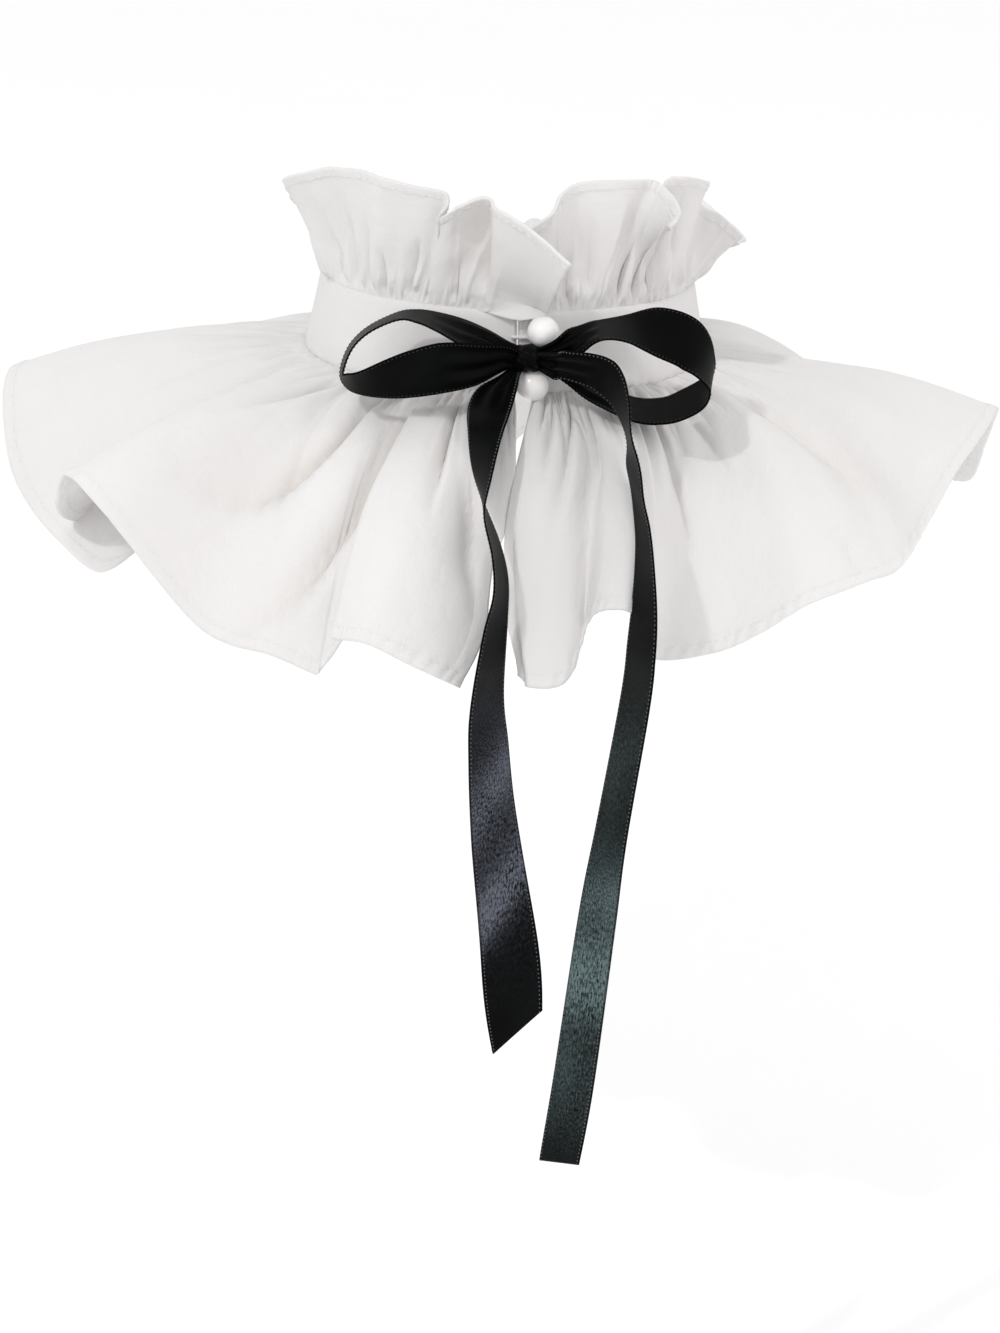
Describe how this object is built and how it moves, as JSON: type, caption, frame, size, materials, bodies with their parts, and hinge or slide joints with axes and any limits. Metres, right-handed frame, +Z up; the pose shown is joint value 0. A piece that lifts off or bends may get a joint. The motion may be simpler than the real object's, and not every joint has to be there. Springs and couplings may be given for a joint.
{
  "type": "detachable collar",
  "caption": "Detachable cotton collar: neck band with standing ruffle, gathered shoulder flounce, pearl buttons in cord loops and a satin bow with long tails.",
  "frame": {"origin": "centre of the neck hole, in the plane of the band's lower seam", "axes": "+Z up along the neck; the wearer faces -Y, where the opening and the bow are; +X is the wearer's left"},
  "size_m": [0.2968, 0.2701, 0.2651],
  "materials": {
    "cotton": "white plain-weave cotton, matt",
    "satin": "black satin ribbon with woven edges",
    "pearl": "pearlescent white coat",
    "elastic": "white covered cord"
  },
  "bodies": {
    "root": {"neck_band": "cotton", "top_ruffle": "cotton", "shoulder_flounce": "cotton", "pearl_button_upper": "pearl", "pearl_button_lower": "pearl", "button_loop_upper": "elastic", "button_loop_lower": "elastic", "bow_knot": "satin", "bow_loop_left": "satin", "bow_loop_right": "satin", "ribbon_tail_left": "satin", "ribbon_tail_right": "satin"}
  },
  "joints": []
}
